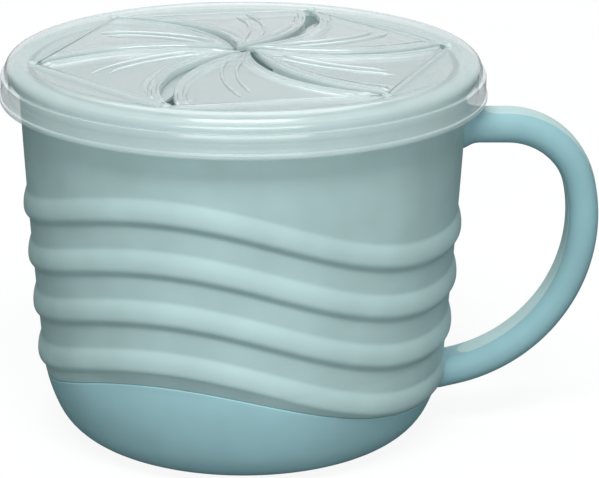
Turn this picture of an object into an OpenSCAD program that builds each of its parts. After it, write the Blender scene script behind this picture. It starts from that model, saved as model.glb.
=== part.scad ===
// Toddler snack cup: a ribbed two-colour cup with a side handle, and a push-on lid
// whose six overlapping soft flaps let a small hand in and keep the snacks from spilling.
// Millimetres. The origin is on the cup's axis at the foot, +X points to the handle.

/* [Cup] */
// Outer radius of the cup where the rounded foot meets the side
belly_r = 45.2; // [43:0.1:47]
// Outer radius of the cup side just under the lid
neck_r = 48.9; // [48:0.1:51]
// Height of the cup's rim
cup_h = 83.6; // [83:0.1:90]
// How far the side swells outward, half way between belly and neck
side_swell = 0.3; // [0:0.1:1]
// Radius of the gentle curve below the belly
hip_arc_r = 35; // [30:1:42]
// Angle that the gentle curve turns through before the tighter toe curve takes over
hip_turn = 25; // [20:1:30]
// Radius of the tight curve that runs into the flat foot
toe_r = 12.6; // [10:0.1:14]
// Wall thickness of the cup at the neck
cup_wall = 1.8; // [1.5:0.1:2.2]
// Thickness of the cup's own wall where it nests in the dark base
foot_wall = 1.9; // [1.6:0.1:2.4]
// Thickness of the cup's own floor
floor_t = 2.4; // [1.8:0.1:4]
// How far the rim lip that holds the lid stands out from the neck
lip_out = 1.9; // [1.4:0.1:2.4]
// Height of the rim lip
lip_h = 3; // [2:0.1:3.4]
// Height between the top of the tapered side and the rim lip
neck_h = 3.6; // [3:0.1:4]
// Bevel of the rim lip's edges
edge_round = 0.4; // [0.2:0.1:0.6]

/* [Dark base] */
// Thickness of the dark skin moulded round the foot
base_t = 1.4; // [1:0.1:2]
// Mean height of the wavy line where the dark base ends
base_top = 16.9; // [15:0.1:17.2]
// Share of the ribs' wave that this line follows
base_wave = 0.85; // [0.5:0.01:0.9]

/* [Ribs] */
// Number of wavy ribs round the cup
rib_count = 4; // [2:1:4]
// Mean height of the lowest rib's centre line
rib_first = 22.8; // [22:0.1:24]
// Height from one rib to the next
rib_pitch = 11.3; // [9.5:0.1:11.4]
// Width of a rib, measured up the cup
rib_w = 8.2; // [5:0.1:8.4]
// How far a rib stands out from the side
rib_out = 1.05; // [0.5:0.05:1.6]
// Rise and fall of the wave that goes once round the cup
wave_once = 4.2; // [0:0.1:4.6]
// Rise and fall of the wave that goes twice round the cup
wave_twice = 5.6; // [0:0.1:6]
// Rise and fall of the wave that goes three times round the cup
wave_thrice = 2.5; // [0:0.1:3]

/* [Handle] */
// Depth of the middle of the handle's straight upper arm below the cup's rim
arm_drop = 13.9; // [13.2:0.1:15]
// Distance from the cup's axis to the start of the handle's upper bend
arm_x = 58; // [56:0.5:62]
// Radius of the handle's upper bend
shoulder_r = 16.6; // [15:0.1:18]
// Angle of the handle's upper bend
shoulder_turn = 77; // [72:1:80]
// Radius of the handle's long lower sweep
sweep_r = 36.3; // [35.6:0.1:37]
// Angle of the handle's long lower sweep
sweep_turn = 98; // [96:1:100]
// Width of the handle across the fingers
grip_w = 12; // [10:0.1:14]
// Thickness of the handle from its outer to its inner face
grip_t = 6.8; // [6:0.1:8]
// Rounding of the handle's edges
grip_round = 2.7; // [1.5:0.1:2.9]
// How far both roots reach into the wall before they are cut to its shape
root_depth = 3; // [2:0.5:4]
// Width of the light core where it shows between the dark cheeks
core_w = 6.6; // [5:0.1:8]
// Thickness of the light core inside the dark collars at both roots
core_t = 4.2; // [3:0.1:5]
// Rounding of the core's edges
core_round = 0.6; // [0.3:0.1:1]
// How much narrower the core gets on each side inside the collars
core_step = 0.5; // [0.3:0.1:1]
// Length of handle that the upper collar covers, beyond the cup wall
collar_top = 4.4; // [3:0.1:8]
// Length of handle that the lower collar covers, beyond the cup wall
collar_low = 5.2; // [3:0.1:8]
// How far a root flares out where it joins the cup
root_flare = 1.4; // [0.5:0.1:2]

/* [Lid] */
// Thickness of the lid's flat web
web_t = 1.6; // [1.4:0.1:2]
// Wall thickness of the lid's skirt
skirt_wall = 1.6; // [1.2:0.1:2]
// Depth of the skirt, from the top of the web to the skirt's lower edge
skirt_depth = 8.9; // [7.6:0.1:9.4]
// Height of the thickened band along the skirt's lower edge
hem_h = 1.2; // [0.8:0.1:2]
// How far that band stands out
hem_out = 0.3; // [0.1:0.1:0.6]
// Radius of the round bead along the lid's upper edge
crown_r = 3.4; // [3:0.1:3.8]
// How far the bead rises above the web
crown_rise = 0.4; // [0.2:0.1:0.8]
// How far the bead steps in from the skirt, leaving a narrow ledge
ledge_w = 0.8; // [0.4:0.1:1.2]
// How far that ledge lies below the middle of the bead
ledge_drop = 0.5; // [0:0.1:1]
// How far the small catch under the rim lip stands in from the skirt
catch_out = 0.3; // [0.2:0.1:0.4]
// Height of the catch
catch_h = 0.8; // [0.6:0.1:1]
// Wall thickness of the plug ring that sits inside the cup's mouth
plug_wall = 1.1; // [0.8:0.1:1.2]
// Depth of the plug ring below the web
plug_depth = 4.4; // [3:0.1:6]

/* [Flaps] */
// Angle from the handle to the middle line of the first flap
first_flap_angle = 40; // [30:1:50]
// Distance from the lid's axis to a slot's outer end
slot_r = 44.8; // [42:0.1:44.9]
// Thickness of a flap
flap_t = 1; // [0.8:0.1:1.2]
// Radius of the round bead along a flap's hinge line
hinge_r = 0.8; // [0.7:0.05:0.8]
// Length of hinge line left free at both ends of a bead
corner_gap = 2.3; // [2:0.1:3]
// Radius of the small pip beyond each slot's outer end
pip_r = 1.1; // [0.8:0.1:1.2]
// Radius of the curve of a flap's leading edge
lead_arc_r = 33.6; // [32:0.1:36]
// How far the leading curve passes from the lid's axis
lead_miss = 1.5; // [1:0.1:2]
// Radius of the curve of a flap's trailing edge
trail_arc_r = 41.6; // [40:0.1:44]
// How far the trailing curve passes from the lid's axis
trail_miss = 2.1; // [1.6:0.1:3]
// Angle between the two curves at the slot's outer end
slot_spread = 2.2; // [1.8:0.1:3]
// Radius of the star-shaped hole that the flaps' tips leave
tip_r = 2.2; // [1.8:0.1:4]
// How far a flap's lower tongue reaches under its neighbour's leading edge
tongue_lap = 1; // [0.5:0.1:1.5]
// Thickness of the lower tongue
tongue_t = 0.8; // [0.6:0.1:1]
// Distance from the lid's axis to the tongue's inner end
tongue_start = 6.6; // [6:0.1:9]
// Distance of the tongue's outer end from the slot's radial line
tongue_end = 3.4; // [3:0.1:5]
// Width of the raised band along both curved edges
border_w = 3; // [2:0.1:4]
// How far the raised bands and ribs stand above the flap
border_h = 0.35; // [0.2:0.05:0.5]
// Width of each fine rib down the middle of a flap
vein_w = 0.8; // [0.6:0.1:1.2]
// Distance between the two fine ribs
vein_gap = 3.2; // [2.4:0.1:4]
// Radius of the curve that the fine ribs follow
vein_arc_r = 38; // [34:1:44]
// How far the fine ribs' curve passes from the lid's axis
vein_miss = 2; // [1:0.5:3]
// Distance from the lid's axis to the inner end of the fine ribs
vein_start = 8.8; // [7:0.1:12]
// Distance from the lid's axis to the outer end of the fine ribs
vein_r = 37; // [28:0.5:38]
// Angle of the fine ribs' outer end from the flap's middle line
vein_turn = 8; // [4:1:12]
// Angle by which the closed flaps rise toward the middle
dome_angle = 1.7; // [0:0.1:2]

/* [Clearances] */
// Gap between pieces of the cup that are moulded or bonded together
bond_gap = 0.05; // [0.02:0.01:0.1]
// Gap between the lid and the cup
lid_gap = 0.3; // [0.2:0.05:0.4]
// Gap round the hinge beads
hinge_gap = 0.25; // [0.2:0.05:0.3]
// Gap between a tongue and the flap above it
tongue_gap = 0.55; // [0.5:0.05:0.8]

/* [Hidden] */

// Colours as the moulded pieces look in soft light
light_plastic = [0.66, 0.80, 0.79];
dark_plastic = [0.44, 0.64, 0.68];
clear_plastic = [0.86, 0.93, 0.93, 0.75];

// Number of flaps, each a piece of its own
flap_count = 6;

// Facets round the wavy cup, and round the lid's curved faces
around = 72;
smooth = 96;
// Overshoot that lets a cut pass cleanly through a face
over = 0.5;

// Foot profile: a toe arc that is tangent to the ground, then a hip arc that is upright at the belly
belly_z = toe_r + (hip_arc_r - toe_r) * sin(hip_turn);
foot_r = belly_r - hip_arc_r + (hip_arc_r - toe_r) * cos(hip_turn);
hip_z = toe_r - toe_r * sin(hip_turn);
neck_z = cup_h - lip_h - neck_h;

// Outer radius of the side at height z, drawn in by inset all along the foot's arcs
function side_r(z, inset = 0) =
    z < hip_z ? foot_r + sqrt(max(0, pow(toe_r - inset, 2) - pow(toe_r - z, 2)))
    : z < belly_z ? belly_r - hip_arc_r + sqrt(pow(hip_arc_r - inset, 2) - pow(belly_z - z, 2))
    : let (u = min(1, (z - belly_z) / (neck_z - belly_z)))
      belly_r - inset + (neck_r - belly_r) * u + 4 * side_swell * u * (1 - u);

// The wave that the ribs and the base's edge follow, by the angle from the handle
function wave(a) = -wave_once * cos(a) - wave_twice * cos(2 * a) + wave_thrice * cos(3 * a);

// A row of the cup's skin is [height, share of the wave, offset from the side, inset of the foot arcs]
function row_point(row, a, grow) =
    let (z = row[0] + row[1] * wave(a), r = side_r(z, row[3]) + row[2] + grow)
    [r * cos(a), r * sin(a), z];
function ring(row, grow = 0) = [for (i = [0:around - 1]) row_point(row, i * 360 / around, grow)];

// One rib: rows across a round back that rises from the side and falls back to it
rib_steps = 3;
function rib_rows(centre) = [for (i = [-rib_steps:rib_steps])
    [centre + i / rib_steps * rib_w / 2, 1, rib_out * (1 - pow(i / rib_steps, 2)), 0]];
rib_rows_all = [for (k = [0:rib_count - 1]) each rib_rows(rib_first + k * rib_pitch)];
ribs_top = rib_first + (rib_count - 1) * rib_pitch + rib_w / 2;

// Rows of the side above the ribs, where the wave dies out
neck_rows = [
    [ribs_top + (neck_z - ribs_top) * 0.4, 0.3, 0, 0],
    [neck_z, 0, 0, 0],
];

// Rows of the hidden rim lip and of the rounded mouth
lip_z = cup_h - lip_h;
lip_r = neck_r + lip_out;
mouth_r = neck_r - cup_wall;
lip_rows = [
    [lip_z - edge_round, 0, 0, 0],
    [lip_z, 0, lip_out, 0],
    [cup_h - edge_round, 0, lip_out, 0],
    [cup_h, 0, lip_out - edge_round, 0],
    [cup_h, 0, edge_round - cup_wall, 0],
    [cup_h - edge_round, 0, -cup_wall, 0],
];

// The cup's foot nests in the dark base, and its inside follows the outside
nest = base_t + bond_gap;
foot_steps = 5;
// Shares of the way up the foot, closer together where it curves most
foot_shares = [for (i = [0:foot_steps]) pow(i / foot_steps, 1.6)];
function nest_rows(inset, top) = [for (v = foot_shares)
    [inset + (top - inset) * v, v * base_wave, 0, inset]];
inner_floor = nest + floor_t;
inner_wall = nest + foot_wall;
side_inner_rows = [for (v = [1, 0.5])
    [belly_z + (neck_z - belly_z) * v, 0, -cup_wall - (inner_wall - cup_wall) * (1 - v), 0]];
foot_inner_rows = [for (i = [foot_steps:-1:0])
    [inner_floor + (belly_z - inner_floor) * foot_shares[i], 0, 0, inner_wall]];

// A closed skin through a list of rings, with a flat fan at each end
module skin(rings) {
    n = len(rings[0]);
    m = len(rings);
    polyhedron(
        points = [for (r = rings) each r],
        faces = [
            [for (i = [0:n - 1]) i],
            for (k = [0:m - 2], i = [0:n - 1]) each [
                [k * n + i, (k + 1) * n + i, (k + 1) * n + (i + 1) % n],
                [k * n + i, (k + 1) * n + (i + 1) % n, k * n + (i + 1) % n]
            ],
            [for (i = [n - 1:-1:0]) (m - 1) * n + i]
        ]
    );
}

module cup_shell() {
    rows = concat(nest_rows(nest, base_top), [[base_top, base_wave, 0, 0]], rib_rows_all,
                  neck_rows, lip_rows, side_inner_rows, foot_inner_rows);
    color(light_plastic)
        skin([for (row = rows) ring(row)]);
}

// The cup's outer form as one solid, grown a little, for cutting the handle's roots to fit
module cup_form(grow) {
    foot_rows = [for (v = foot_shares) [hip_z * v, 0, 0, 0]];
    rows = concat(foot_rows, rib_rows_all, neck_rows);
    skin([for (row = rows) ring(row, grow)]);
}

// Foot outline in the half plane: ground, toe arc, hip arc, then straight up the side
function foot_outline(top, steps = 8) = concat(
    [[0, 0]],
    [for (i = [0:steps])
        let (a = 90 - (90 - hip_turn) * i / steps)
        [foot_r + toe_r * cos(a), toe_r - toe_r * sin(a)]],
    [for (i = [1:steps / 2])
        let (a = hip_turn * (1 - 2 * i / steps))
        [belly_r - hip_arc_r + hip_arc_r * cos(a), belly_z - hip_arc_r * sin(a)]],
    [[side_r(top), top], [0, top]]
);

// The dark base, hollowed to the cup's own foot and cut off along the wavy line
module base_shell() {
    highest = base_top + wave_once + wave_twice + wave_thrice;
    edge = base_top - bond_gap;
    rows = concat(nest_rows(base_t, edge),
                  [[edge, base_wave, 4 * over, 0], [highest + over, 0, 4 * over, 0]]);
    color(dark_plastic)
        difference() {
            rotate_extrude($fn = smooth) polygon(foot_outline(highest));
            skin([for (row = rows) ring(row)]);
        }
}

// The handle's centre line in the XZ plane: [x, z, heading], heading 0 pointing away from the cup
arm_z = cup_h - arm_drop;
function arm_at(s) = [arm_x - s, arm_z, 0];
function shoulder_at(t) = [arm_x + shoulder_r * sin(t), arm_z - shoulder_r * (1 - cos(t)), -t];
sweep_start = shoulder_at(shoulder_turn);
function sweep_at(t) =
    let (h = shoulder_turn + t)
    [sweep_start[0] + sweep_r * (sin(h) - sin(shoulder_turn)),
     sweep_start[1] - sweep_r * (cos(shoulder_turn) - cos(h)), -h];
shoulder_steps = 7;
sweep_steps = 9;
tenon_w = core_w - 2 * core_step;
wall_top_x = side_r(arm_z);
wall_low_x = side_r(sweep_at(sweep_turn)[1]);

// Stations where the light core shows, from the upper collar to the lower one
function low_turn(x) = sweep_turn - asin(min(1, (x - sweep_at(sweep_turn)[0]) / sweep_r));
function window_path(gap) = concat(
    [arm_at(arm_x - wall_top_x - collar_top - gap), arm_at(0)],
    [for (i = [1:shoulder_steps]) shoulder_at(shoulder_turn * i / shoulder_steps)],
    [for (i = [1:sweep_steps]) sweep_at(low_turn(wall_low_x + collar_low + gap) * i / sweep_steps)]
);

// Stations of the upper collar and of the lower collar, each from its window to inside the wall
top_path = [for (x = [collar_top, root_flare, -root_depth]) arm_at(arm_x - wall_top_x - x)];
low_end = sweep_at(sweep_turn);
low_path = [
    sweep_at(low_turn(wall_low_x + collar_low)),
    sweep_at(low_turn(wall_low_x + root_flare)),
    [wall_low_x - root_depth, low_end[1], low_end[2]]
];

// A rounded rectangle, w across the fingers and t thick, standing square to the path at a station
corner_steps = 3;
function rounded_section(w, t, r) = [for (q = [0:3], i = [0:corner_steps])
    let (a = q * 90 + 90 * i / corner_steps,
         cx = (w / 2 - r) * (q == 0 || q == 3 ? 1 : -1),
         cy = (t / 2 - r) * (q < 2 ? 1 : -1))
    [cx + r * cos(a), cy + r * sin(a)]];
function stand(section, s) = [for (p = section)
    [s[0] - p[1] * sin(s[2]), p[0], s[1] + p[1] * cos(s[2])]];

// One length of handle between two stations
module length_of(a, b) {
    hull()
        polyhedron(points = concat(a, b),
            faces = [[for (i = [0:len(a) - 1]) i], [for (i = [len(a) + len(b) - 1:-1:len(a)]) i]]);
}

// A bar that carries one section along the stations of a path
module bar(path, section) {
    for (k = [0:len(path) - 2])
        length_of(stand(section, path[k]), stand(section, path[k + 1]));
}

grip_section = rounded_section(grip_w, grip_t, grip_round);

// The part of the grip's section that lies beyond the core, on one side
cheek_in = core_w / 2 + bond_gap;
cheek_half = grip_t / 2 - grip_round
    + sqrt(pow(grip_round, 2) - pow(max(0, cheek_in - grip_w / 2 + grip_round), 2));
cheek_section = concat(
    [for (p = grip_section) if (p[0] > cheek_in) p],
    [[cheek_in, cheek_half], [cheek_in, -cheek_half]]
);
function other_side(section) = [for (p = section) [-p[0], p[1]]];

// The core's tenons, which run through the collars into the wall
module tenons(grow) {
    section = rounded_section(tenon_w + 2 * grow, core_t + 2 * grow, core_round);
    bar(top_path, section);
    bar(low_path, section);
}

module handle_core() {
    color(light_plastic)
        difference() {
            union() {
                bar(window_path(bond_gap), rounded_section(core_w, 2 * cheek_half, core_round));
                tenons(0);
                bar([top_path[0], window_path(bond_gap)[1]], rounded_section(tenon_w, core_t, core_round));
                bar([low_path[0], sweep_at(low_turn(wall_low_x + 2 * collar_low))],
                    rounded_section(tenon_w, core_t, core_round));
            }
            cup_form(bond_gap);
        }
}

module handle_grip() {
    color(dark_plastic)
        difference() {
            union() {
                bar(window_path(0), cheek_section);
                bar(window_path(0), other_side(cheek_section));
                collar(top_path);
                collar(low_path);
            }
            tenons(bond_gap);
            cup_form(bond_gap);
        }
}

// A collar that swells toward the cup
module collar(path) {
    wide = rounded_section(grip_w + 2 * root_flare, grip_t + 2 * root_flare, grip_round + root_flare);
    bar(path, grip_section);
    length_of(stand(grip_section, path[1]), stand(wide, path[2]));
}

// Lid heights and radii, all from the cup's rim
web_top = cup_h + lid_gap + web_t;
web_low = web_top - web_t;
catch_r = lip_r + lid_gap;
skirt_in = catch_r + catch_out;
skirt_r = skirt_in + skirt_wall;
skirt_low = web_top - skirt_depth;
crown_x = skirt_r - ledge_w - crown_r;
crown_z = web_top + crown_rise - crown_r;
plug_r = mouth_r - lid_gap;
half = 180 / flap_count;
hinge_x = slot_r * cos(half);
hinge_z = web_top - hinge_r;
bead_l = 2 * (slot_r * sin(half) - corner_gap);

// The lid's turned outline: web, round bead, skirt with its hem and catch, and plug ring
module lid_outline() {
    catch_z = lip_z - lid_gap - edge_round;
    difference() {
        union() {
            translate([crown_x, crown_z]) circle(crown_r, $fn = smooth);
            translate([hinge_x - over, web_low]) square([crown_x - hinge_x + over, web_t]);
            translate([crown_x, skirt_low]) square([skirt_r - crown_x, crown_z - ledge_drop - skirt_low]);
            translate([skirt_in, skirt_low]) square([skirt_wall + hem_out, hem_h]);
        }
        translate([0, skirt_low - over]) square([plug_r - plug_wall, web_low - skirt_low + over]);
        translate([0, skirt_low - over]) square([plug_r, web_low - plug_depth - skirt_low + over]);
        translate([plug_r, skirt_low - over]) square([skirt_in - plug_r, web_low - skirt_low + over]);
    }
    translate([plug_r - plug_wall, web_low - plug_depth]) square([plug_wall, plug_depth + web_t / 2]);
    translate([skirt_in - catch_out, catch_z - catch_h]) square([catch_out + skirt_wall / 2, catch_h]);
}

module hinge_places() {
    for (k = [0:flap_count - 1])
        rotate([0, 0, flap_angle(k)]) children();
}

// Direction of flap k's middle line
function flap_angle(k) = first_flap_angle + k * 360 / flap_count;

module lid_rim() {
    color(clear_plastic) {
        difference() {
            rotate_extrude($fn = smooth) lid_outline();
            rotate([0, 0, flap_angle(0) - half])
                translate([0, 0, web_low - over])
                    cylinder(r = slot_r, h = web_t + 2 * over, $fn = flap_count);
            hinge_places()
                translate([hinge_x, 0, hinge_z]) rotate([90, 0, 0])
                    cylinder(r = hinge_r + hinge_gap, h = bead_l + 4 * hinge_gap, center = true, $fn = 48);
        }
        hinge_places()
            rotate([0, 0, half]) translate([slot_r + pip_r + hinge_gap, 0, web_top - web_t / 2])
                cylinder(r = pip_r, h = web_t / 2 + border_h, $fn = 32);
    }
}

// Centre of an arc of radius r that passes the point at distance slot_r and angle at,
// bends toward larger angles and misses the lid's axis by miss
function arc_centre(r, miss, reach, at) =
    let (d = r + miss, a = at + acos((d * d + reach * reach - r * r) / (2 * d * reach)))
    [d * cos(a), d * sin(a)];

lead_centre = arc_centre(lead_arc_r, lead_miss, slot_r, half);
trail_centre = arc_centre(trail_arc_r, trail_miss, slot_r, slot_spread - half);
under_centre = arc_centre(lead_arc_r, lead_miss, slot_r, -half);
vein_centre = arc_centre(vein_arc_r, vein_miss, vein_r, -vein_turn);

module slab(centre, r, z, t) {
    translate([centre[0], centre[1], z]) cylinder(r = r, h = t, $fn = smooth);
}

// The flap's plan between its hinge line and its two curved edges, from height z up by t
module blade(z, t) {
    difference() {
        intersection() {
            translate([-slot_r, -slot_r, z]) cube([slot_r + hinge_x - hinge_gap, 2 * slot_r, t]);
            slab(trail_centre, trail_arc_r, z, t);
            sector(z, t);
        }
        slab(lead_centre, lead_arc_r, z - over, t + 2 * over);
        slab([0, 0], tip_r, z - over, t + 2 * over);
    }
}

// The wedge of the lid that one flap lies in, opened by the angle lean on its trailing side
lean = 40;
module sector(z, t) {
    translate([0, 0, z])
        linear_extrude(height = t)
            polygon([[0, 0], for (a = [-half - lean, -half, half]) 2 * slot_r * [cos(a), sin(a)]]);
}

// The lower tongue, which fills the slot and runs on under the neighbour's leading edge
module tongue(z, t) {
    difference() {
        intersection() {
            slab(under_centre, lead_arc_r + tongue_lap, z, t);
            rotate([0, 0, -half])
                translate([-over, -slot_r - tongue_end, z]) cube([slot_r, slot_r, t]);
        }
        slab(trail_centre, trail_arc_r - tongue_t, z - over, t + 2 * over);
        slab([0, 0], tongue_start, z - over, t + 2 * over);
    }
}

module flap_form() {
    drop = flap_t + tongue_gap + tongue_t;
    blade(-flap_t, flap_t);
    tongue(-drop, tongue_t);
    intersection() {
        blade(-drop, drop);
        difference() {
            slab(trail_centre, trail_arc_r, -drop, drop);
            slab(trail_centre, trail_arc_r - tongue_t, -drop - over, drop + 2 * over);
        }
        rotate([0, 0, -half])
            translate([tongue_start, -slot_r - tongue_end, -drop]) cube([slot_r, slot_r, drop]);
    }
    intersection() {
        blade(-over, over + border_h);
        union() {
            slab(lead_centre, lead_arc_r + border_w, -over, 2 * over + border_h);
            difference() {
                slab(trail_centre, trail_arc_r, -over, 2 * over + border_h);
                slab(trail_centre, trail_arc_r - border_w, -2 * over, 4 * over);
            }
            veins();
        }
    }
}

// Two fine curved ribs from near the tip to well up the flap
module veins() {
    h = over + border_h;
    intersection() {
        for (side = [-1, 1])
            difference() {
                slab(vein_centre, vein_arc_r + side * vein_gap / 2 + vein_w / 2, -over, h);
                slab(vein_centre, vein_arc_r + side * vein_gap / 2 - vein_w / 2, -2 * over, h + 2 * over);
            }
        difference() {
            slab([0, 0], vein_r, -over, h);
            slab([0, 0], vein_start, -2 * over, h + 2 * over);
        }
        translate([0, -slot_r, -over]) cube([slot_r, 2 * slot_r, h]);
    }
}

module flap(k) {
    color(clear_plastic)
        rotate([0, 0, flap_angle(k)])
            translate([hinge_x, 0, hinge_z]) rotate([0, dome_angle, 0]) {
                rotate([90, 0, 0]) cylinder(r = hinge_r, h = bead_l, center = true, $fn = 48);
                translate([-hinge_x, 0, hinge_r]) flap_form();
            }
}

cup_shell();
base_shell();
handle_core();
handle_grip();
lid_rim();
flap(0);  // flap_1
flap(1);  // flap_2
flap(2);  // flap_3
flap(3);  // flap_4
flap(4);  // flap_5
flap(5);  // flap_6
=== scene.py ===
"""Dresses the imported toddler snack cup: fine meshes, finishes, studio light and the photograph's camera."""

import logging
import math
from dataclasses import dataclass
from enum import Enum

import bmesh
import bpy
from mathutils import Matrix, Vector


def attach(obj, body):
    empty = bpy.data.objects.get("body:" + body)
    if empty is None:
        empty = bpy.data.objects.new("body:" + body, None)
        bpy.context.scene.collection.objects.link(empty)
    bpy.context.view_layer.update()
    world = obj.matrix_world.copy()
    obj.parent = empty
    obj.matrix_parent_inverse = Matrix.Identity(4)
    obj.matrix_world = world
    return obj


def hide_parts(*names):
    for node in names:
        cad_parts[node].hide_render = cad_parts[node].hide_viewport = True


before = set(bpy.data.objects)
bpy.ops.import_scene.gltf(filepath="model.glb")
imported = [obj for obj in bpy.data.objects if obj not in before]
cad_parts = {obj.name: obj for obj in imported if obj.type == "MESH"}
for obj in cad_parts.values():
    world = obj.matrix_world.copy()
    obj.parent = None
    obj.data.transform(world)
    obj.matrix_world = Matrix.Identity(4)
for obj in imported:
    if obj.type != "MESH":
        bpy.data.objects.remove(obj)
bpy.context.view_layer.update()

log = logging.getLogger("snack_cup")

MM = 0.001
WELD = 0.002 * MM
# attribute of painted light on the ribs: painted highlight along the crests, painted shade along the rib feet
RIB_PAINTED_LIGHT = "rib_painted_light"
RIB_BLUR = (-1.0, -0.5, 0.0, 0.5, 1.0)
Point2 = tuple[float, float]
Point3 = tuple[float, float, float]
Colour = tuple[float, float, float]
Faces = list[tuple[int, ...]]
Ring = list[Point3]
Skin = tuple[Ring, Faces]
Socket = bpy.types.NodeSocket
Pair = tuple[Vector, Vector]


class Slot(Enum):
    """The record's material slots."""

    LIGHT = "light_plastic"
    DARK = "dark_plastic"
    LID = "clear_lid"
    FLAP = "clear_flap"


class Body(Enum):
    """The bodies that pieces ride on."""

    CUP = "cup"
    LID = "lid"


def linear(colour: Colour) -> tuple[float, float, float, float]:
    """Turns a colour as seen, from 0 to 255, into the linear one that a shader takes.

    Args:
        colour: red, green and blue from 0 to 255.

    Returns:
        The linear colour with an alpha of 1.
    """
    parts = [c / 255 for c in colour]
    values = [c / 12.92 if c <= 0.04045 else ((c + 0.055) / 1.055) ** 2.4 for c in parts]
    return (values[0], values[1], values[2], 1.0)


def smooth_step(low: float, high: float, value: float) -> float:
    """Rises smoothly from 0 at low to 1 at high.

    Args:
        low: where the rise starts.
        high: where it ends.
        value: the place to read.

    Returns:
        A share from 0 to 1.
    """
    share = min(1.0, max(0.0, (value - low) / (high - low)))
    return share * share * (3 - 2 * share)


def shares(count: int) -> list[float]:
    """Divides the way from 0 to 1 into even steps."""
    return [i / count for i in range(count + 1)]


def build_piece(name: str, skin: Skin, crease: float = 35.0) -> bpy.types.Object:
    """Makes a mesh object from points in millimetres.

    Args:
        name: the object's name.
        skin: the points, and the faces as point numbers.
        crease: the angle in degrees above which an edge stays sharp.

    Returns:
        The object, linked to the scene.
    """
    points, faces = skin
    data = bpy.data.meshes.new(name)
    data.from_pydata([(x * MM, y * MM, z * MM) for x, y, z in points], [], faces)
    work = bmesh.new()
    work.from_mesh(data)
    bmesh.ops.remove_doubles(work, verts=work.verts, dist=WELD)
    bmesh.ops.dissolve_degenerate(work, edges=work.edges, dist=WELD)
    bmesh.ops.recalc_face_normals(work, faces=work.faces)
    work.to_mesh(data)
    work.free()
    data.shade_smooth()
    data.set_sharp_from_angle(angle=math.radians(crease))
    piece = bpy.data.objects.new(name, data)
    bpy.context.scene.collection.objects.link(piece)
    return piece


def loft(rings: list[Ring], loop: bool = False) -> Skin:
    """Skins a row of rings that all have the same number of points.

    Args:
        rings: the rings in order.
        loop: whether the last ring is joined to the first, instead of both being closed with a fan.

    Returns:
        The points and the faces.
    """
    count = len(rings[0])
    points = [p for ring in rings for p in ring]
    faces: Faces = []
    spans = len(rings) if loop else len(rings) - 1
    for k in range(spans):
        here, there = k * count, (k + 1) % len(rings) * count
        for i in range(count):
            j = (i + 1) % count
            faces.append((here + i, there + i, there + j, here + j))
    if not loop:
        for start, order in ((0, 1), ((len(rings) - 1) * count, -1)):
            ring = points[start:start + count]
            points.append(tuple(sum(p[axis] for p in ring) / count for axis in range(3)))
            hub = len(points) - 1
            for i in range(count):
                pair = (start + i, start + (i + 1) % count)[::order]
                faces.append((*pair, hub))
    return points, faces


def join_skins(skins: list[Skin]) -> Skin:
    """Puts several skins together as one.

    Args:
        skins: the skins in order.

    Returns:
        All their points and faces.
    """
    points: Ring = []
    faces: Faces = []
    for more, extra in skins:
        shift = len(points)
        points += more
        faces += [tuple(i + shift for i in face) for face in extra]
    return points, faces


def circle(radius: float, count: int = 28) -> list[Point2]:
    """Gives points evenly round a circle."""
    turns = [2 * math.pi * i / count for i in range(count)]
    return [(radius * math.cos(turn), radius * math.sin(turn)) for turn in turns]


def rounded_outline(corners: list[Point3], steps: int) -> list[Point2]:
    """Rounds the corners of a closed outline.

    Args:
        corners: each corner's two coordinates and its rounding radius.
        steps: how many lengths each rounded corner gets.

    Returns:
        The outline's points.
    """
    outline: list[Point2] = []
    count = len(corners)
    for i, (x, y, radius) in enumerate(corners):
        corner = Vector((x, y))
        back = Vector(corners[i - 1][:2]) - corner
        ahead = Vector(corners[(i + 1) % count][:2]) - corner
        half = back.angle(ahead) / 2
        reach = min(radius / math.tan(half), back.length * 0.49, ahead.length * 0.49)
        start, end = corner + back.normalized() * reach, corner + ahead.normalized() * reach
        for t in shares(steps):
            a, b, c = (1 - t) ** 2, 2 * t * (1 - t) * math.sin(half), t * t
            spot = (start * a + corner * b + end * c) / (a + b + c)
            outline.append((spot.x, spot.y))
    return outline


class NodeBoard:
    """Adds and links the nodes of one material or backdrop."""

    def __init__(self, tree: bpy.types.NodeTree, output: str) -> None:
        """Empties the tree and gives it an output.

        Args:
            tree: the node tree.
            output: the output node's type.
        """
        self.nodes, self.links = tree.nodes, tree.links
        self.nodes.clear()
        self.output = self.nodes.new(output)

    def add(self, kind: str, **values: object) -> bpy.types.Node:
        """Adds a node and sets its properties or input values.

        Args:
            kind: the node's type.
            values: names of properties, or of inputs with spaces as underscores.

        Returns:
            The node.
        """
        node = self.nodes.new(kind)
        for key, value in values.items():
            if hasattr(node, key):
                setattr(node, key, value)
            else:
                node.inputs[key.replace("_", " ")].default_value = value
        return node

    def rays(self, *kinds: str) -> Socket:
        """Tells some kinds of light rays from the others.

        Args:
            kinds: the kinds, such as Camera.

        Returns:
            An output that is 1 for rays of these kinds.
        """
        ray = self.add("ShaderNodeLightPath")
        seen = ray.outputs[f"Is {kinds[0]} Ray"]
        for kind in kinds[1:]:
            node = self.add("ShaderNodeMath", operation="MAXIMUM")
            self.links.new(seen, node.inputs[0])
            self.links.new(ray.outputs[f"Is {kind} Ray"], node.inputs[1])
            seen = node.outputs[0]
        return seen

    def layer(self, share: Socket, under: Socket, over: Socket) -> None:
        """Mixes two surfaces or backdrops into the output.

        Args:
            share: the share of the upper one.
            under: the lower one.
            over: the upper one.
        """
        node = self.add("ShaderNodeMixShader")
        self.links.new(share, node.inputs["Fac"])
        self.links.new(under, node.inputs[1])
        self.links.new(over, node.inputs[2])
        self.links.new(node.outputs[0], self.output.inputs["Surface"])


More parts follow.
